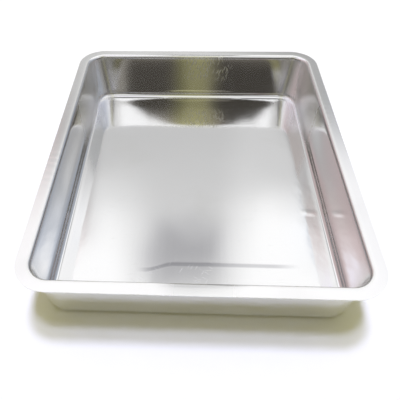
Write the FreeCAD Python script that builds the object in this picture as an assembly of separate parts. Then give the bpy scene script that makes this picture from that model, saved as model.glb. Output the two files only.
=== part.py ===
import FreeCAD, Part
import math
import os

# A shallow rectangular oven tray, pressed in one piece from thin aluminium sheet.
# Millimetres, +Z up. X runs across the tray and Y along it.
# The origin is under the middle of the floor, on the face that the tray stands on.

# Overall size, with the length and width measured over the flange
tray_length = 300.0
tray_width = 250.0
tray_height = 50.0

# The sheet, and the flat of the flange between its trimmed edge and the bend
sheet_thickness = 0.6
flange_flat = 7.0

# Bend radii on the side that the food touches
lip_radius = 3.5
foot_radius = 5.0

# Radii of the wall's corners seen from above. The drawn corner is softer at its foot.
wall_top_corner_radius = 14.5
wall_foot_corner_radius = 19.0

# The walls lean outwards, so that the tray leaves its die and trays nest
wall_draft_angle = 1.5

# How far the punch form reaches past the tray's top and sides
punch_margin = 10.0

# The lip turns through a right angle less the draft, and takes this much of the flange
draft = math.radians(wall_draft_angle)
lip_run = lip_radius * math.tan((math.pi / 2 - draft) / 2)

# Distance from the trimmed edge in to the wall, where flange and wall would meet if sharp
wall_set_in = flange_flat + lip_run

# The flange is equally wide round the corners, so its corner is concentric with the wall's
flange_corner_radius = wall_top_corner_radius + wall_set_in


def rounded_rectangle(length, width, corner_radius, height):
    """Closed outline of four straight sides and four quarter arcs, centred on Z."""
    up = FreeCAD.Vector(0, 0, 1)
    middle_x = width / 2 - corner_radius
    middle_y = length / 2 - corner_radius
    corners = [(middle_x, middle_y), (-middle_x, middle_y), (-middle_x, -middle_y), (middle_x, -middle_y)]
    arcs = []
    for quarter, (x, y) in enumerate(corners):
        circle = Part.Circle(FreeCAD.Vector(x, y, height), up, corner_radius)
        start = quarter * math.pi / 2
        arcs.append(Part.ArcOfCircle(circle, start, start + math.pi / 2))
    edges = []
    for arc, following in zip(arcs, arcs[1:] + arcs[:1]):
        edges.append(arc.toShape())
        edges.append(Part.LineSegment(arc.EndPoint, following.StartPoint).toShape())
    return Part.Wire(edges)


def wall_outline(height, skin):
    """Outline of the wall at a height, moved outwards through the sheet by a skin."""
    share_down = (tray_height - height) / tray_height
    corner_growth = wall_foot_corner_radius - wall_top_corner_radius
    outwards = skin / math.cos(draft)
    set_in = wall_set_in + (tray_height - height) * math.tan(draft) - outwards
    corner_radius = wall_top_corner_radius + corner_growth * share_down + outwards
    return rounded_rectangle(tray_length - 2 * set_in, tray_width - 2 * set_in, corner_radius, height)


def tapered_tub(foot_outline, lip_outline):
    """Solid between two outlines, with flat sides and with corners ruled from arc to arc.

    The sides come first. They face outwards, and sewing turns the two ends to agree with them.
    """
    faces = []
    for low, high in zip(foot_outline.Edges, lip_outline.Edges):
        if isinstance(low.Curve, Part.Circle):
            faces.append(Part.makeRuledSurface(low, high))
        else:
            low_start, low_end = [vertex.Point for vertex in low.Vertexes]
            high_start, high_end = [vertex.Point for vertex in high.Vertexes]
            side = Part.makePolygon([low_start, low_end, high_end, high_start, low_start])
            faces.append(Part.Face(side))
    faces.append(Part.Face(foot_outline))
    faces.append(Part.Face(lip_outline))
    shell = Part.Shell(faces)
    shell.sewShape()
    return Part.Solid(shell)


def edges_along(solid, outline):
    """Edges of a solid that lie on an outline it was made from."""
    tolerance = 0.001
    found = []
    for edge in solid.Edges:
        for drawn in outline.Edges:
            apart = edge.CenterOfMass.distanceToPoint(drawn.CenterOfMass)
            if apart < tolerance and abs(edge.Length - drawn.Length) < tolerance:
                found.append(edge)
    return found


def pressed_form(skin, plate_outline, plate_thickness):
    """Tub with a rounded foot that hangs from a plate, with a rounded lip between them.

    With a skin of nothing it fills the tray as the punch does. With a skin of one sheet
    it has the tray's underside, as the die has.
    """
    foot_height = sheet_thickness - skin
    lip_height = tray_height - skin
    foot_outline = wall_outline(foot_height, skin)
    lip_outline = wall_outline(lip_height, skin)
    tub = tapered_tub(foot_outline, lip_outline)
    tub = tub.makeFillet(foot_radius + skin, edges_along(tub, foot_outline))
    plate = Part.Face(plate_outline).extrude(FreeCAD.Vector(0, 0, plate_thickness))
    form = tub.fuse(plate).removeSplitter()
    return form.makeFillet(lip_radius - skin, edges_along(form, lip_outline))


def make_tray():
    """The sheet is what the die form holds and the punch form doesn't."""
    trimmed_edge = rounded_rectangle(
        tray_length, tray_width, flange_corner_radius, tray_height - sheet_thickness)
    punch_edge = rounded_rectangle(
        tray_length + 2 * punch_margin, tray_width + 2 * punch_margin,
        flange_corner_radius + punch_margin, tray_height)
    die_form = pressed_form(sheet_thickness, trimmed_edge, sheet_thickness)
    punch_form = pressed_form(0.0, punch_edge, punch_margin)
    return die_form.cut(punch_form)


def save(shape, node):
    """Write one node's solid and print what was made."""
    os.makedirs("parts", exist_ok=True)
    solid = shape.Solids[0]
    solid.exportStep("parts/" + node + ".step")
    box = solid.BoundBox
    print(node, "valid", shape.isValid(), "solids", len(shape.Solids), "faces", len(solid.Faces))
    print("size", [round(v, 3) for v in (box.XLength, box.YLength, box.ZLength)])
    print("volume", round(solid.Volume, 1))


save(make_tray(), "tray")
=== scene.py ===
# %% [markdown]
# # A pressed aluminium tray
# The real tray is one sheet of thin aluminium. A press draws it into a die, which makes the floor,
# the walls and the rounded lip in one stroke, and a second cut trims the flat flange. The solid
# model already has that form. What it can't show is the sheet itself: the faint rolling lines, the
# ripples that drawing leaves in a flange, the soft dents of handling. A bright metal shows those
# more than its own colour, so most of this script is about shape and light.

# %% Load the solid model
import math

import bpy
from mathutils import Matrix, Vector


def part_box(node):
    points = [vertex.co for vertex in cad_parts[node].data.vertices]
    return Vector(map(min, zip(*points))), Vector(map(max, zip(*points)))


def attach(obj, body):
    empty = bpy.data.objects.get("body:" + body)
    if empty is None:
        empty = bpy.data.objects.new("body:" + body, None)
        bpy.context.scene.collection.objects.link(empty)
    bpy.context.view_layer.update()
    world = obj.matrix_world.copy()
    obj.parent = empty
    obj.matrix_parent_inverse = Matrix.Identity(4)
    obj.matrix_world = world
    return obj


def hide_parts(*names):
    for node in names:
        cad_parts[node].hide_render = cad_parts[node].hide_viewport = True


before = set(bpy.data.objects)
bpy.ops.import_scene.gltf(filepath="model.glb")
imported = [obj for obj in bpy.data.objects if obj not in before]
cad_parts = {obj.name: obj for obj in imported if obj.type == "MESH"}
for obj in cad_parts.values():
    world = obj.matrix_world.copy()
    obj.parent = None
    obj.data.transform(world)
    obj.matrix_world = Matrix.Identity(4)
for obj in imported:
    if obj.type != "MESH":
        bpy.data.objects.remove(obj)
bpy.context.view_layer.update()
MM = 0.001

# %% [markdown]
# ## Arithmetic for node trees
# A rule such as "the corner grows softer towards the floor" is easier to read as an expression than
# as a chain of boxes. This small class wraps one output socket, and each operator adds the Math node
# that works it out. The same class serves the tray's shape, its finish and the light round it,
# because Geometry Nodes and shaders share their maths.

# %% A socket that does arithmetic
class Tree:
    """A node tree that is written as expressions."""

    def __init__(self, node_tree):
        self.tree = node_tree

    def node(self, kind, settings=None, output=0, **sockets):
        """Add a node, set its options first and then its sockets, and return one output."""
        made = self.tree.nodes.new(kind)
        for name, setting in (settings or {}).items():
            setattr(made, name, setting)
        for name, value in sockets.items():
            key = int(name[1:]) if name[0] == "_" else name.replace("_", " ")
            self.feed(made.inputs[key], value)
        if made.outputs:
            return Value(self, made.outputs[output])
        return made

    def feed(self, socket, value):
        """Link a socket to a Value, or set it to a plain number, colour or object."""
        if isinstance(value, Value):
            self.tree.links.new(value.socket, socket)
        else:
            socket.default_value = value

    def math(self, operation, *terms):
        sockets = {f"_{place}": term for place, term in enumerate(terms)}
        return self.node("ShaderNodeMath", {"operation": operation}, **sockets)

    def vector(self, x=0.0, y=0.0, z=0.0):
        return self.node("ShaderNodeCombineXYZ", X=x, Y=y, Z=z)

    def split(self, vector):
        """The three numbers of a vector."""
        parts = self.node("ShaderNodeSeparateXYZ", Vector=vector).socket.node.outputs
        return [Value(self, part) for part in parts]

    def clamped(self, value):
        """The value held between 0 and 1."""
        return self.math("MAXIMUM", self.math("MINIMUM", value, 1.0), 0.0)

    def ramp(self, value, start, end):
        """Rises smoothly from 0 at the start to 1 at the end, which may be the smaller number."""
        return self.node("ShaderNodeMapRange", {"interpolation_type": "SMOOTHSTEP"},
                         Value=value, From_Min=float(start), From_Max=float(end))

    def noise(self, place, scale=1.0, detail=2.0, roughness=0.5):
        """Cloudy pattern about 0, mostly between -0.3 and 0.3."""
        return self.node("ShaderNodeTexNoise", Vector=place, Scale=scale, Detail=detail,
                         Roughness=roughness) - 0.5

    def blend(self, share, first, second):
        """One colour turning into another."""
        return self.node("ShaderNodeMix", {"data_type": "RGBA"}, output=2, _0=share, _6=first, _7=second)


class Value:
    """One output socket, with the operators that the rules below use."""

    def __init__(self, owner, socket):
        self.owner = owner
        self.socket = socket

    def __add__(self, other):
        return self.owner.math("ADD", self, other)

    def __sub__(self, other):
        return self.owner.math("SUBTRACT", self, other)

    def __mul__(self, other):
        return self.owner.math("MULTIPLY", self, other)

    def __truediv__(self, other):
        return self.owner.math("DIVIDE", self, other)

    def __radd__(self, other):
        return self.owner.math("ADD", other, self)

    def __rsub__(self, other):
        return self.owner.math("SUBTRACT", other, self)

    def __rmul__(self, other):
        return self.owner.math("MULTIPLY", other, self)

    def sibling(self, name):
        """Another output of the node that this one comes from."""
        return Value(self.owner, self.socket.node.outputs[name])


# %% [markdown]
# ## The tray's shape as one rule
# Think of the sheet as a grid. Its rows are rings: they start in the middle of the floor, run out
# over the foot, up the wall, over the lip to the trimmed edge, and come back along the underside.
# Its columns run round the tray: a quarter turn at each corner and a straight side between corners.
# Geometry Nodes place every grid point from its row and column, so the section can be read here as
# it would be on a drawing. The alternative, solidifying a copy of the CAD facets, would show those
# facets in every reflection.

# %% Sizes of the pressed sheet
low, high = (Vector(corner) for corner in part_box("tray"))
TRAY_WIDTH, TRAY_LENGTH, TRAY_HEIGHT = high - low
SHEET = 0.6 * MM
FLANGE_FLAT = 7.0 * MM
LIP_RADIUS = 3.5 * MM
FOOT_RADIUS = 5.0 * MM
CORNER_TOP = 14.5 * MM
CORNER_FOOT = 19.0 * MM
DRAFT = math.radians(1.5)
BEND = math.pi / 2 - DRAFT
WALL_SET_IN = FLANGE_FLAT + LIP_RADIUS * math.tan(BEND / 2)
print("the wall stands", round(WALL_SET_IN / MM, 2), "mm in from the trimmed edge")

# %% How finely each stretch is divided
CORNER_COLUMNS = 14
SIDE_COLUMNS = 66
COLUMNS = 4 * (CORNER_COLUMNS + SIDE_COLUMNS)
FLOOR_ROWS = 36
FOOT_ROWS = 9
WALL_ROWS = 12
LIP_ROWS = 9
FLANGE_ROWS = 4
SKIN_ROWS = FLOOR_ROWS + FOOT_ROWS + WALL_ROWS + LIP_ROWS + FLANGE_ROWS
print("grid of", 2 * SKIN_ROWS + 2, "rows and", COLUMNS, "columns")


# %% The section: where each ring lies on the food side
class Ring:
    """One ring of the sheet: how far it has come along each stretch, and where that puts it."""

    def __init__(self, t, size, count):
        def stretch(first, rows):
            """How far the ring has come along one stretch of the section, from 0 to 1."""
            return t.clamped((count - float(first)) / float(rows))

        self.floor = stretch(0, FLOOR_ROWS)
        self.foot = stretch(FLOOR_ROWS, FOOT_ROWS)
        self.wall = stretch(FLOOR_ROWS + FOOT_ROWS, WALL_ROWS)
        self.lip = stretch(FLOOR_ROWS + FOOT_ROWS + WALL_ROWS, LIP_ROWS)
        self.flange = stretch(SKIN_ROWS - FLANGE_ROWS, FLANGE_ROWS)

        # The slope climbs round the foot and comes back to level round the lip
        slope = (self.foot - self.lip) * BEND
        self.upright = t.math("SINE", slope)
        self.level = t.math("COSINE", slope)
        foot_turn = self.foot * BEND
        lip_turn = (1.0 - self.lip) * BEND
        bends = (size["Foot"] + size["Lip"]) * (1 - math.sin(DRAFT))
        wall_height = size["Height"] - size["Sheet"] - bends
        self.rise = size["Foot"] * (1.0 - t.math("COSINE", foot_turn)) + wall_height * self.wall \
            + size["Lip"] * (t.math("COSINE", lip_turn) - math.sin(DRAFT)) + size["Sheet"]
        self.set_in = size["Flange"] * (1.0 - self.flange) + size["Lip"] * t.math("SINE", lip_turn) \
            + wall_height * math.tan(DRAFT) * (1.0 - self.wall) \
            + size["Foot"] * (math.cos(DRAFT) - t.math("SINE", foot_turn))


# %% The outline: where each column stands on its ring
def round_the_tray(t, column):
    """Columns turn a quarter at each corner and then slide along the side.

    Gives the way that a column faces, and the middle that its corner turns about, as shares of the
    distance to a corner's middle.
    """
    quarter_turn = math.pi / 2
    quarter_columns = float(CORNER_COLUMNS + SIDE_COLUMNS)
    quarter = t.math("FLOOR", (column + 0.001) / quarter_columns)
    within = column - quarter * quarter_columns
    turned = t.clamped(within / float(CORNER_COLUMNS))
    slid = t.clamped((within - float(CORNER_COLUMNS)) / float(SIDE_COLUMNS))
    facing = (quarter + turned) * quarter_turn
    here = quarter * quarter_turn + quarter_turn / 2
    ahead = here + quarter_turn
    diagonal = math.sqrt(2)
    middle_x = (t.math("COSINE", here) * (1.0 - slid) + t.math("COSINE", ahead) * slid) * diagonal
    middle_y = (t.math("SINE", here) * (1.0 - slid) + t.math("SINE", ahead) * slid) * diagonal
    return t.math("COSINE", facing), t.math("SINE", facing), middle_x, middle_y


# %% [markdown]
# ## The sheet is never quite flat
# Drawing leaves stresses in the sheet, so the floor of a real tray crowns by a fraction of a
# millimetre, its walls bow between their corners and its flange sags a little towards the edge.
# The same nodes add that: each point moves along the sheet's normal by a slow noise. The floor only
# rises and the flange only sags, which keeps the tray inside its box and flat on its foot.

# %% How far the sheet wanders
FLOOR_CROWN = 0.55 * MM
WALL_BOW = 0.5 * MM
FLANGE_SAG = 0.3 * MM


def wander(t, size, ring, place):
    """Slow waves along the normal: up on the floor, either way on the walls, down on the flange."""
    crown = size["Crown"] * t.clamped(t.noise(place, 11.0, 1.0) + 0.5) * t.ramp(ring.floor, 1.0, 0.86)
    bow = size["Bow"] * t.noise(place, 16.0, 1.0) * (ring.wall * (1.0 - ring.wall) * 4.0)
    sag = size["Sag"] * t.clamped(t.noise(place, 30.0, 1.0) + 0.5) * ring.flange * ring.flange
    return crown * (1.0 - ring.foot) + bow - sag


print("the floor crowns by at most", round(FLOOR_CROWN / MM, 2), "mm")

# %% The node tree that presses the sheet
PRESS_SIZES = {"Length": TRAY_LENGTH, "Width": TRAY_WIDTH, "Height": TRAY_HEIGHT, "Sheet": SHEET,
               "Flange": FLANGE_FLAT, "Lip": LIP_RADIUS, "Foot": FOOT_RADIUS,
               "Corner top": CORNER_TOP, "Corner foot": CORNER_FOOT,
               "Crown": FLOOR_CROWN, "Bow": WALL_BOW, "Sag": FLANGE_SAG}
WELD = 0.01 * MM


def pressing_tree():
    """Geometry Nodes that press a flat grid into the tray."""
    tree = bpy.data.node_groups.new("press_the_sheet", "GeometryNodeTree")
    for name in PRESS_SIZES:
        tree.interface.new_socket(name, in_out="INPUT", socket_type="NodeSocketFloat")
    tree.interface.new_socket("Finish", in_out="INPUT", socket_type="NodeSocketMaterial")
    tree.interface.new_socket("Geometry", in_out="OUTPUT", socket_type="NodeSocketGeometry")
    inlet = tree.nodes.new("NodeGroupInput")
    outlet = tree.nodes.new("NodeGroupOutput")
    t = Tree(tree)
    size = {socket.name: Value(t, socket) for socket in inlet.outputs if socket.name}

    grid = t.node("GeometryNodeMeshGrid", Vertices_X=2 * SKIN_ROWS + 2, Vertices_Y=COLUMNS + 1)
    index = t.node("GeometryNodeInputIndex")
    row = t.math("FLOOR", (index + 0.5) / (COLUMNS + 1.0))
    column = index - row * (COLUMNS + 1.0)

    # Rows count outwards on the food side and inwards on the underside, which lies one sheet away
    underside = t.math("GREATER_THAN", row, SKIN_ROWS + 0.5)
    ring = Ring(t, size, t.math("MINIMUM", row, 2.0 * SKIN_ROWS + 1.0 - row))
    skin = underside * size["Sheet"]
    height = ring.rise - skin * ring.level
    inset = ring.set_in - skin * ring.upright

    # Corners stay concentric with the trimmed edge, and soften on the way down
    wall_set_in = size["Flange"] + size["Lip"] * math.tan(BEND / 2)
    softening = (size["Corner foot"] - size["Corner top"]) / size["Height"] + math.tan(DRAFT)
    corner = size["Corner top"] + wall_set_in - inset + softening * (size["Height"] - height)

    # The floor's rings shrink to the middle
    facing_x, facing_y, middle_x, middle_y = round_the_tray(t, column)
    x = (middle_x * (size["Width"] * 0.5 - inset - corner) + facing_x * corner) * ring.floor
    y = (middle_y * (size["Length"] * 0.5 - inset - corner) + facing_y * corner) * ring.floor

    relief = wander(t, size, ring, t.vector(x, y, height))
    x = x - relief * ring.upright * facing_x
    y = y - relief * ring.upright * facing_y
    height = height + relief * ring.level

    pressed = t.node("GeometryNodeSetPosition", Geometry=grid, Position=t.vector(x, y, height))
    closed = t.node("GeometryNodeMergeByDistance", Geometry=pressed, Distance=WELD)
    real = t.node("GeometryNodeRealizeInstances", Geometry=closed)
    finished = t.node("GeometryNodeSetMaterial", Geometry=real, Material=size["Finish"])
    t.feed(outlet.inputs["Geometry"], finished)
    return tree


# %% Pressing
def press_tray(finish):
    """Run the tree with the tray's sizes and keep the result as a plain mesh.

    An input of the press is set by its socket's identifier, which stays when a name changes.
    """
    sizes = dict(PRESS_SIZES, Finish=finish)
    blank = bpy.data.objects.new("pressing", bpy.data.meshes.new("pressing"))
    bpy.context.scene.collection.objects.link(blank)
    press = blank.modifiers.new("press", "NODES")
    press.node_group = pressing_tree()
    print("pressing tree has", len(press.node_group.nodes), "nodes")
    for socket in press.node_group.interface.items_tree:
        if socket.in_out == "INPUT":
            press[socket.identifier] = sizes[socket.name]
    ready = blank.evaluated_get(bpy.context.evaluated_depsgraph_get())
    mesh = bpy.data.meshes.new_from_object(ready)
    mesh.name = "pressed_sheet"
    mesh.materials.clear()
    mesh.materials.append(finish)
    mesh.polygons.foreach_set("material_index", [0] * len(mesh.polygons))
    bpy.data.objects.remove(blank)
    tray = bpy.data.objects.new("pressed_tray", mesh)
    bpy.context.scene.collection.objects.link(tray)
    return tray


# %% [markdown]
# ## The finish of the sheet
# Bright rolled aluminium is a mirror with habits. The rolls leave fine lines, cloths and food leave
# a faint haze, and use leaves scratches, pits and small dents. An image could carry all that, but it
# blurs close up. So each mark is a rule on the tray's own coordinates, in metres, that says where it
# lies. The marks then change the roughness, the share of bare metal and the bumps, and the colour
# hardly at all. The press holds the flange between two plates while it draws the tray, so the
# flange is duller than the rest. Its colour is also painted paler, as painted light for the
# brightness that it catches, and a band of painted shade darkens the crease in the floor.

# %% Where on the tray a point lies
class Spot:
    """A point of the tray's surface, and how far it belongs to each part of the sheet."""

    def __init__(self, m):
        self.place = m.node("ShaderNodeTexCoord", output=3)
        self.x, self.y, self.z = m.split(self.place)
        self.across = m.math("ABSOLUTE", self.x)
        self.along = m.math("ABSOLUTE", self.y)

        # The way that it faces tells the inside of the far wall from the outside
        self.facing_y = m.split(self.place.sibling("Normal"))[1]

        self.flange = m.ramp(self.z, TRAY_HEIGHT - 1.1 * MM, TRAY_HEIGHT - 0.3 * MM)
        self.floor = m.ramp(self.z, 3.0 * MM, 1.5 * MM)
        self.side_wall = m.ramp(self.across, 108.0 * MM, 112.0 * MM) * (1.0 - self.flange)
        self.corner = m.ramp(self.across + self.along, 223.0 * MM, 238.0 * MM) \
            * (1.0 - self.flange) * (1.0 - self.floor)


# %% Rolling lines
LINES_PER_METRE = 420.0
WAVES_PER_METRE = 7.0


def rolling_lines(m, spot):
    """They run along the tray on the floor and side walls, and up the two end walls."""
    long_y = spot.y * WAVES_PER_METRE
    on_flat = m.vector(spot.x * LINES_PER_METRE, long_y, spot.z * WAVES_PER_METRE)
    on_side = m.vector(spot.x * WAVES_PER_METRE, long_y, spot.z * LINES_PER_METRE)
    flat_lines = m.noise(on_flat, 1.0, 3.0, 0.6)
    side_lines = m.noise(on_side, 1.0, 3.0, 0.6)
    return flat_lines + spot.side_wall * (side_lines - flat_lines)


print("the coarsest rolling lines stand about", round(1 / LINES_PER_METRE / MM, 1), "mm apart")


# %% Short straight marks
def strokes(m, right, ahead, degrees, length, width, spread, share):
    """A few cells of a cell pattern, stretched into needles that lean by some degrees.

    The cells are `spread` times as long and wide as a needle, and a share of them holds one.
    """
    lean = math.radians(degrees)
    run = right * math.cos(lean) + ahead * math.sin(lean)
    over = ahead * math.cos(lean) - right * math.sin(lean)
    cell = m.vector(run / (length * spread) + degrees, over / (width * spread))
    needles = m.node("ShaderNodeTexVoronoi", {"voronoi_dimensions": "2D"}, Scale=1.0, Vector=cell)
    chance = m.split(needles.sibling("Color"))[0]
    return m.ramp(needles, 0.5 / spread, 0.2 / spread) * m.ramp(chance, 1.0 - share, 1.02 - share)


# %% Scratches and pits
def hair_scratches(m, spot):
    """Fine scratches on the floor, most of them in front, where food is taken out."""
    in_front = m.ramp(spot.y, -85.0 * MM, -100.0 * MM) * m.ramp(spot.across, 60.0 * MM, 20.0 * MM)
    hairs = strokes(m, spot.x, spot.y, 8.0, 9.0 * MM, 0.35 * MM, 7.0, 0.3) \
        + strokes(m, spot.x, spot.y, 62.0, 7.0 * MM, 0.3 * MM, 6.0, 0.25) \
        + strokes(m, spot.x, spot.y, -38.0, 6.0 * MM, 0.3 * MM, 6.0, 0.25)
    return m.clamped(hairs) * spot.floor * (0.25 + 0.75 * in_front)


def small_pits(m, spot):
    """Dark specks in a few cells of a cell pattern, all over the tray."""
    cells = m.node("ShaderNodeTexVoronoi", {"distance": "EUCLIDEAN"}, Vector=spot.place, Scale=34.0)
    chance = m.split(cells.sibling("Color"))[0]
    return m.ramp(cells, 0.035, 0.012) * m.ramp(chance, 0.82, 0.84)


# %% Rubbed and frosted places
def rubbed_patch(m, spot):
    """Steep strokes in the middle of the far wall, as a rough cloth leaves them."""
    patch = m.ramp(m.math("ABSOLUTE", spot.x - 12.0 * MM), 30.0 * MM, 16.0 * MM) \
        * m.ramp(spot.facing_y, -0.5, -0.9) * m.ramp(spot.z, 18.0 * MM, 28.0 * MM) \
        * m.ramp(spot.y, 130.0 * MM, 136.0 * MM)
    rubs = strokes(m, spot.x, spot.z, 74.0, 8.0 * MM, 0.9 * MM, 2.0, 0.8) \
        + strokes(m, spot.x, spot.z, 106.0, 7.0 * MM, 0.9 * MM, 2.2, 0.7)
    return patch * m.clamped(rubs)


def frosted_corners(m, spot):
    """The floor is frosted at its two far corners, in streaks that lead into them."""
    streaks = 0.75 + 1.1 * m.noise(m.vector(spot.x * 160.0, spot.y * 12.0), 1.0, 2.0)
    frosted = m.ramp(spot.across, 91.0 * MM, 100.0 * MM) * m.ramp(spot.y, 66.0 * MM, 90.0 * MM) \
        * m.ramp(spot.z, 5.0 * MM, 3.0 * MM)
    return m.clamped(frosted * streaks)


# %% The crease across the floor
CREASE_Y = -92.5 * MM
CREASE_JOG = 6.0 * MM


def crease(m, spot):
    """The press left a crease near the front: its height in millimetres, and a band of painted shade
    along it.
    """
    line = CREASE_Y - CREASE_JOG * m.ramp(spot.x, -18.0 * MM, -42.0 * MM)
    span = m.ramp(spot.x, -50.0 * MM, -34.0 * MM) * m.ramp(spot.x, 86.0 * MM, 60.0 * MM) * spot.floor
    behind = spot.y - line
    step = m.ramp(behind, 1.2 * MM, -1.2 * MM)
    slope = m.ramp(behind, 2.0 * MM, -20.0 * MM)
    # Painted shade: a dark band along the foot of the crease's step
    crease_shade = m.ramp(m.math("ABSOLUTE", behind + 1.6 * MM), 2.6 * MM, 0.8 * MM) * span
    return (0.03 * step + 0.10 * slope) * span, crease_shade


print("the crease lies", round((CREASE_Y + TRAY_LENGTH / 2) / MM, 1), "mm behind the front edge")


# %% Dents in the floor
def floor_knock(m, spot):
    """The floor is knocked in beside the right-hand foot, and dips along it in front of that."""
    trough = m.ramp(spot.x, 95.0 * MM, 100.0 * MM) * m.ramp(spot.x, 107.5 * MM, 102.0 * MM)
    knock = m.ramp(m.math("ABSOLUTE", spot.y + 37.0 * MM), 5.0 * MM, 0.0) \
        * m.ramp(m.math("ABSOLUTE", spot.x - 100.0 * MM), 9.0 * MM, 1.0 * MM)
    return (0.14 * knock - 0.03 * trough * m.ramp(spot.y, -36.0 * MM, -42.0 * MM)) * spot.floor


def foot_crumples(m, spot):
    """Soft crumples along the feet of the side walls, more of them on the right and in front."""
    crumpled = m.ramp(spot.across, 86.0 * MM, 97.0 * MM) * m.ramp(spot.y - 0.35 * spot.x, 0.0, -50.0 * MM)
    return m.noise(m.vector(spot.x * 75.0, spot.y * 42.0, 2.0), 1.0, 2.0) * crumpled * spot.floor


# %% The far wall's ledge and the flange's ripples
RIPPLE_PITCH = 7.5 * MM


def wall_ledge(m, spot):
    """The far wall steps inwards a little just above its foot, which catches a bright line."""
    return m.ramp(spot.z, 4.8 * MM, 8.6 * MM) * m.ramp(spot.facing_y, -0.1, -0.5) \
        * m.ramp(m.math("ABSOLUTE", spot.x - 6.0 * MM), 62.0 * MM, 22.0 * MM) \
        * m.ramp(spot.y, 128.0 * MM, 134.0 * MM)


def flange_ripples(m, spot):
    """Short ripples across the long sides of the flange, where the sheet was drawn in."""
    ripples = m.math("SINE", spot.y * (math.tau / RIPPLE_PITCH) + 6.0 * m.noise(spot.place, 40.0, 1.0))
    rippled = m.ramp(m.noise(m.vector(spot.x * 9.0, spot.y * 14.0, 3.1), 1.0, 1.0), -0.02, 0.14) \
        * m.ramp(spot.across, 115.0 * MM, 117.0 * MM) * m.ramp(spot.along, 125.0 * MM, 105.0 * MM)
    return ripples * rippled * spot.flange


# %% The aluminium
CLEAN_METAL = (0.90, 0.90, 0.905, 1.0)
# Painted light: the flange's paler colour stands in for the brightness that the flange catches
PAINTED_BRIGHT_FLANGE = (0.97, 0.97, 0.97, 1.0)
HAZED_METAL = (0.84, 0.84, 0.83, 1.0)
# Painted shade: the grey that darkens the band along the crease
CREASE_SHADE_GREY = (0.56, 0.56, 0.58, 1.0)
PIT_BROWN = (0.16, 0.15, 0.12, 1.0)


def aluminium():
    metal = bpy.data.materials.new("bright_aluminium")
    metal.use_nodes = True
    shader = metal.node_tree.nodes["Principled BSDF"]
    m = Tree(metal.node_tree)
    spot = Spot(m)
    lines = rolling_lines(m, spot)
    hairs = hair_scratches(m, spot)
    pits = small_pits(m, spot)
    rubbed = rubbed_patch(m, spot)
    crease_height, crease_shade = crease(m, spot)
    haze = m.noise(spot.place, 24.0, 4.0, 0.6)
    smudge = m.ramp(m.noise(spot.place, 13.0, 3.0), 0.05, 0.25)

    # The side walls are duller towards the far end, and the drawn corners everywhere
    dulled = spot.side_wall * m.ramp(spot.y, 30.0 * MM, 70.0 * MM)
    rough = 0.08 + 0.04 * haze + 0.05 * smudge + 0.04 * lines + 0.12 * hairs + 0.3 * pits
    rough = rough + 0.10 * spot.flange + 0.22 * rubbed
    rough = rough + m.math("MAXIMUM", 0.26 * dulled, 0.17 * spot.corner)
    m.feed(shader.inputs["Roughness"], m.clamped(rough))

    # The flange is worn to a pale skin in front and on the right, but for a bright spot in the middle
    beside_spot = m.ramp(m.math("ABSOLUTE", spot.x - 3.0 * MM), 14.0 * MM, 34.0 * MM)
    worn = spot.flange * m.ramp(spot.y - 0.22 * spot.x, 50.0 * MM, -90.0 * MM) * (0.1 + 0.9 * beside_spot)
    bare = 1.0 - 0.9 * worn - 0.85 * rubbed - 0.4 * hairs - 0.15 * dulled
    bare = bare - 0.35 * frosted_corners(m, spot)
    m.feed(shader.inputs["Metallic"], m.clamped(bare))

    # Painted light: the flange is blended to a paler colour for the brightness that it catches
    colour = m.blend(spot.flange, CLEAN_METAL, PAINTED_BRIGHT_FLANGE)
    colour = m.blend(smudge * 0.5, colour, HAZED_METAL)
    # Painted shade: the colour turns grey along the crease
    colour = m.blend(crease_shade * 0.8, colour, CREASE_SHADE_GREY)
    m.feed(shader.inputs["Base Color"], m.blend(pits, colour, PIT_BROWN))

    # Heights are in millimetres
    height = 0.004 * lines * (1.0 - 0.8 * spot.flange) + 0.010 * rubbed - 0.005 * hairs - 0.02 * pits
    height = height + crease_height + floor_knock(m, spot) + 0.16 * foot_crumples(m, spot)
    height = height + 0.56 * wall_ledge(m, spot) + 0.035 * flange_ripples(m, spot)
    m.feed(shader.inputs["Normal"], m.node("ShaderNodeBump", Height=height, Distance=MM, Strength=1.0))
    print("the finish has", len(metal.node_tree.nodes), "nodes")
    return metal


# %% The tray
tray = press_tray(aluminium())
tray.data.set_sharp_from_angle(angle=math.radians(40))
for face in tray.data.polygons:
    face.use_smooth = True
print("tray has", len(tray.data.polygons), "faces")
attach(tray, "root")
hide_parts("tray")

# %% [markdown]
# ## The camera
# It stands where the photo was taken from, a little left of the middle and close enough for the
# flange to look much wider in front than at the back. Its place, its turn and its lens could be
# tried by eye. They were worked out instead from where the flange, the lip and the foot appear, so
# that the tray's outline falls where it should.

# %% Camera
CAMERA_PLACE = Vector((-8.6, -287.0, 294.8)) * MM
CAMERA_HEADING = math.radians(3.33)
CAMERA_TILT = math.radians(90.0 - 48.92)
CAMERA_ROLL = math.radians(-1.46)
PHOTO_WIDTH = 400
FOCAL_PIXELS = 430.6
AXIS_PIXEL = (170.0, 205.3)

camera_data = bpy.data.cameras.new("camera")
camera_data.sensor_width = 36.0
camera_data.lens = FOCAL_PIXELS / PHOTO_WIDTH * camera_data.sensor_width
camera_data.shift_x = (PHOTO_WIDTH / 2 - AXIS_PIXEL[0]) / PHOTO_WIDTH
camera_data.shift_y = (AXIS_PIXEL[1] - PHOTO_WIDTH / 2) / PHOTO_WIDTH
camera_data.clip_start = 0.01
camera = bpy.data.objects.new("camera", camera_data)
bpy.context.scene.collection.objects.link(camera)
camera.matrix_world = (Matrix.Translation(CAMERA_PLACE) @ Matrix.Rotation(CAMERA_HEADING, 4, "Z")
                       @ Matrix.Rotation(CAMERA_TILT, 4, "X") @ Matrix.Rotation(CAMERA_ROLL, 4, "Z"))
bpy.context.scene.camera = camera
print("camera stands", round(CAMERA_PLACE.length, 3), "m from the tray's middle")

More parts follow.
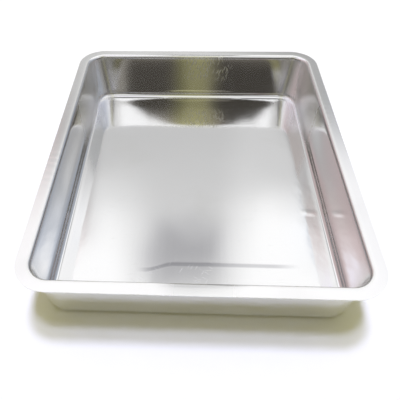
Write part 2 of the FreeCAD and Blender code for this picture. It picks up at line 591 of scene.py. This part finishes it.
# %% [markdown]
# ## Light for a bright metal
# Polished sheet shows what stands round it. A plain white room would leave it flat, as a tray seen
# in fog, and a studio built of lamps and boards would be a second model. So the room here is a pale
# dome, made of directions alone: how far a direction turns from straight ahead, and how far it
# climbs. Two soft panels stand high beyond the tray, and the room is a little cool on one side and
# warm on the other. Only reflections see the dome. The camera sees plain white, and matt surfaces
# get an even light and two high lamps.

# %% Directions in the room
class Direction:
    """A direction in the room, in degrees, and how far it belongs to each part of the dome.

    Turn is 0 straight ahead and grows to the right. Climb is 0 at the horizon and 90 overhead.
    """

    def __init__(self, w):
        self.way = w.node("ShaderNodeTexCoord")
        east, self.north, self.up = w.split(self.way)
        self.turn = w.math("ARCTAN2", east, self.north) * math.degrees(1)
        self.climb = w.math("ARCSINE", self.up) * math.degrees(1)
        self.aside = w.math("ABSOLUTE", self.turn)
        self.low_down = w.ramp(self.climb, 55, 47)
        self.behind = w.ramp(self.aside, 105, 150)
        self.warm_corner = w.ramp(self.turn, -29, -34) * w.ramp(self.climb, 48, 53)

        # A greyer gap with drifting edges stands between the two panels
        drift = w.noise(self.way, 6.0, 2.0)
        self.gap = w.ramp(self.aside + 16.0 * drift, 14, 2) * w.ramp(self.climb + 9.0 * drift, 49, 54) \
            * w.ramp(self.climb + 6.0 * drift, 62, 54)


# %% The room beyond the tray
ROOM_LEVEL = 0.60
PANEL_LEVEL = 1.1


def light_ahead(w, way):
    """A pale room with two brighter panels high up, left and right of the gap."""
    turn, climb, aside = way.turn, way.climb, way.aside
    right_side = w.math("MAXIMUM", w.ramp(turn - climb, -23.5, -19.5), w.ramp(turn, 23, 28))
    sides = w.math("MAXIMUM", right_side, w.ramp(turn, -15, -23)) * way.low_down
    level = ROOM_LEVEL + 0.09 * w.ramp(climb, 38, 50) - 0.13 * sides - 0.24 * way.gap
    level = level - 0.04 * right_side * way.low_down

    # Lighter low down in the middle, right beside it and in the warm corner, darker in the cool one
    level = level + 0.09 * w.ramp(climb, 40, 34) * w.ramp(aside, 15, 8)
    level = level + 0.07 * w.ramp(turn, 5, 11) * w.ramp(turn - climb, -20, -25)
    level = level + 0.32 * way.warm_corner - 0.10 * w.ramp(turn, 27, 33) * w.ramp(climb, 48, 53)

    right_panel = w.ramp(turn, 6, 17) * w.ramp(climb, 43, 50)
    left_panel = w.ramp(turn, -4, -19) * w.ramp(climb, 42, 52)
    panels = w.math("MAXIMUM", right_panel, left_panel) * (1.0 - 0.75 * sides)
    bright = w.math("MAXIMUM", panels, w.ramp(climb, 58, 70))
    return level + (PANEL_LEVEL - level) * bright


# %% The room behind the camera
BACK_LEVEL = 0.26


def light_behind(w, way):
    """A dim room, with a bright strip over it and a bright ceiling above that."""
    strip = w.ramp(way.climb, 34, 37) * w.ramp(way.climb, 52, 48)
    return BACK_LEVEL + 0.89 * strip + 0.85 * w.ramp(way.climb, 62, 72)


# %% The room's colour
WHITE = (1.0, 1.0, 1.0, 1.0)
COOL = (0.93, 0.99, 1.11, 1.0)
WARM = (1.15, 0.95, 0.95, 1.0)
WARM_CORNER = (1.0, 0.96, 1.06, 1.0)
GAP_COOL = (1.0, 0.995, 1.03, 1.0)
BACK_WARM = (1.06, 1.0, 0.88, 1.0)
GOLDEN = (1.05, 1.03, 0.62, 1.0)


def room_tint(w, way):
    """Cool on the right, warm on the left, and golden in a patch high behind the camera."""
    turn, climb = way.turn, way.climb
    ahead = w.blend(w.ramp(turn, 18, 34) * way.low_down, WHITE, COOL)
    ahead = w.blend(w.ramp(turn, -18, -32) * way.low_down, ahead, WARM)
    ahead = w.blend(way.warm_corner, ahead, WARM_CORNER)
    ahead = w.blend(way.gap, ahead, GAP_COOL)
    golden = w.ramp(way.aside, 164, 172) * w.ramp(climb, 58, 62) * w.ramp(climb, 78, 73)
    back = w.blend(w.ramp(climb, 32, 37), BACK_WARM, WHITE)
    back = w.blend(golden, back, GOLDEN)
    return w.blend(way.behind, ahead, back)


# %% The dome that reflections see
EVEN_LIGHT = (0.43, 0.40, 0.16, 1.0)


def light_the_room():
    world = bpy.data.worlds.new("studio")
    world.use_nodes = True
    world.node_tree.nodes.clear()
    w = Tree(world.node_tree)
    way = Direction(w)
    ahead = light_ahead(w, way)
    level = ahead + (light_behind(w, way) - ahead) * way.behind

    # Darker towards the horizon and straight overhead
    level = level - 0.25 * w.ramp(way.climb, 26, 6) - 0.3 * w.ramp(way.climb, 74, 84)
    dome = w.node("ShaderNodeBackground", Color=room_tint(w, way), Strength=level)

    # Matt surfaces get an even light that grows upwards and towards the far side
    even_level = (0.1 + 1.35 * w.math("MAXIMUM", way.up, 0.0)) * (1.0 + 0.75 * way.north)
    even = w.node("ShaderNodeBackground", Color=EVEN_LIGHT, Strength=even_level)
    white = w.node("ShaderNodeBackground", Color=WHITE, Strength=1.0)
    reflected = w.node("ShaderNodeLightPath").sibling("Is Glossy Ray")
    shown = w.node("ShaderNodeMixShader", _0=reflected, _1=even, _2=dome)
    shown = w.node("ShaderNodeMixShader", _0=reflected.sibling("Is Camera Ray"), _1=shown, _2=white)
    w.node("ShaderNodeOutputWorld", Surface=shown)
    bpy.context.scene.world = world
    print("the room has", len(world.node_tree.nodes), "nodes")


light_the_room()

# %% Two lamps high above the tray
LAMP_COLOUR = (0.69, 0.715, 1.0)


def hang_lamp(name, lean, strength, blur):
    """A distant lamp that leans from straight overhead, and that polished metal doesn't mirror."""
    light = bpy.data.lights.new(name, "SUN")
    light.energy = strength
    light.color = LAMP_COLOUR
    light.angle = math.radians(blur)
    lamp = bpy.data.objects.new(name, light)
    lamp.matrix_world = Matrix.Rotation(math.radians(-lean), 4, "X")
    lamp.visible_glossy = False
    bpy.context.scene.collection.objects.link(lamp)
    print(name, "leans", lean, "degrees over the far side")


hang_lamp("leaning_lamp", 13.0, 1.71, 10.0)
hang_lamp("overhead_lamp", 0.5, 1.10, 8.0)

# %% [markdown]
# ## The table
# The tray stands on a plain white table. A matt material keeps it free of reflections, so that it
# shows the tray's shadow and nothing else.

# %% The table
def stage_sheet(name, corners, finish):
    """A flat helper that belongs to the room and not to the tray."""
    mesh = bpy.data.meshes.new(name)
    mesh.from_pydata(corners, [], [tuple(range(len(corners)))])
    mesh.materials.append(finish)
    sheet = bpy.data.objects.new(name, mesh)
    bpy.context.scene.collection.objects.link(sheet)
    return sheet


def rectangle(left, right, near, far):
    """Corners of a rectangle, anticlockwise, so that its face points along Z."""
    return [(left, near, 0), (right, near, 0), (right, far, 0), (left, far, 0)]


TABLE_REACH = 3.0
white_table = bpy.data.materials.new("white_table")
white_table.use_nodes = True
table_shader = white_table.node_tree.nodes["Principled BSDF"]
table_shader.inputs["Base Color"].default_value = WHITE
table_shader.inputs["Roughness"].default_value = 1.0
table_shader.inputs["Specular IOR Level"].default_value = 0.0
stage_sheet("table", rectangle(-TABLE_REACH, TABLE_REACH, -TABLE_REACH, TABLE_REACH), white_table)
print("the table reaches", TABLE_REACH, "m to each side")

# %% [markdown]
# ## Something dark to mirror
# The far wall and the floor in front of it make a right angle, and a right angle of mirrors sends
# light back where it came from. So that wall shows whatever stands at the camera. A dark card there,
# rounded on top, lighter and olive in its middle, gives the wall the deep tone and soft edge that
# make the tray read as metal. Only reflections see the card.

# %% The dark card
CARD_MIDDLE = 0.03
CARD_HALF_WIDTH = 0.18
CARD_SHOULDER = -0.02
CARD_RISE = 0.14
CARD_TONE = 0.062
CARD_DARK = (1.1, 1.0, 0.85, 1.0)
CARD_OLIVE = (1.1, 1.05, 0.55, 1.0)


def card_finish():
    finish = bpy.data.materials.new("dark_card")
    finish.use_nodes = True
    finish.node_tree.nodes.clear()
    c = Tree(finish.node_tree)
    right, up, _ = c.split(c.node("ShaderNodeTexCoord", output=3))

    # Straight sides below the shoulder and half an ellipse above it, with a soft edge
    over = c.math("MAXIMUM", up - CARD_SHOULDER, 0.0) / CARD_RISE
    beside = (right - CARD_MIDDLE) / CARD_HALF_WIDTH
    edge = c.ramp(c.math("SQRT", beside * beside + over * over), 1.04, 0.94)

    # Lighter in the middle, along the bottom and at the top left
    middle = c.ramp(c.math("ABSOLUTE", right - 0.005), 0.085, 0.02)
    heart = c.ramp(c.math("ABSOLUTE", right - 0.022), 0.045, 0.015)
    tone = CARD_TONE - 0.01 * c.ramp(right, 0.0, 0.1) + 0.08 * middle + 0.10 * heart
    tone = tone + 0.07 * c.ramp(up, -0.09, -0.14)
    tone = tone + 0.3 * c.ramp(up, 0.05, 0.12) * c.ramp(right, 0.12, 0.06)
    glow = c.node("ShaderNodeEmission", Color=c.blend(middle, CARD_DARK, CARD_OLIVE), Strength=tone)
    clear = c.node("ShaderNodeBsdfTransparent")
    shown = c.node("ShaderNodeMixShader", _0=edge, _1=clear, _2=glow)
    c.node("ShaderNodeOutputMaterial", Surface=shown)
    return finish


card = stage_sheet("dark_card", rectangle(-0.26, 0.3, -0.3, 0.16), card_finish())
card.matrix_world = camera.matrix_world
card.visible_camera = False
card.visible_diffuse = False
card.visible_shadow = False
print("the card is", round(2 * CARD_HALF_WIDTH, 2), "m wide")

# %% [markdown]
# ## The view
# The render uses the Standard view transform.

bpy.context.scene.view_settings.view_transform = "Standard"
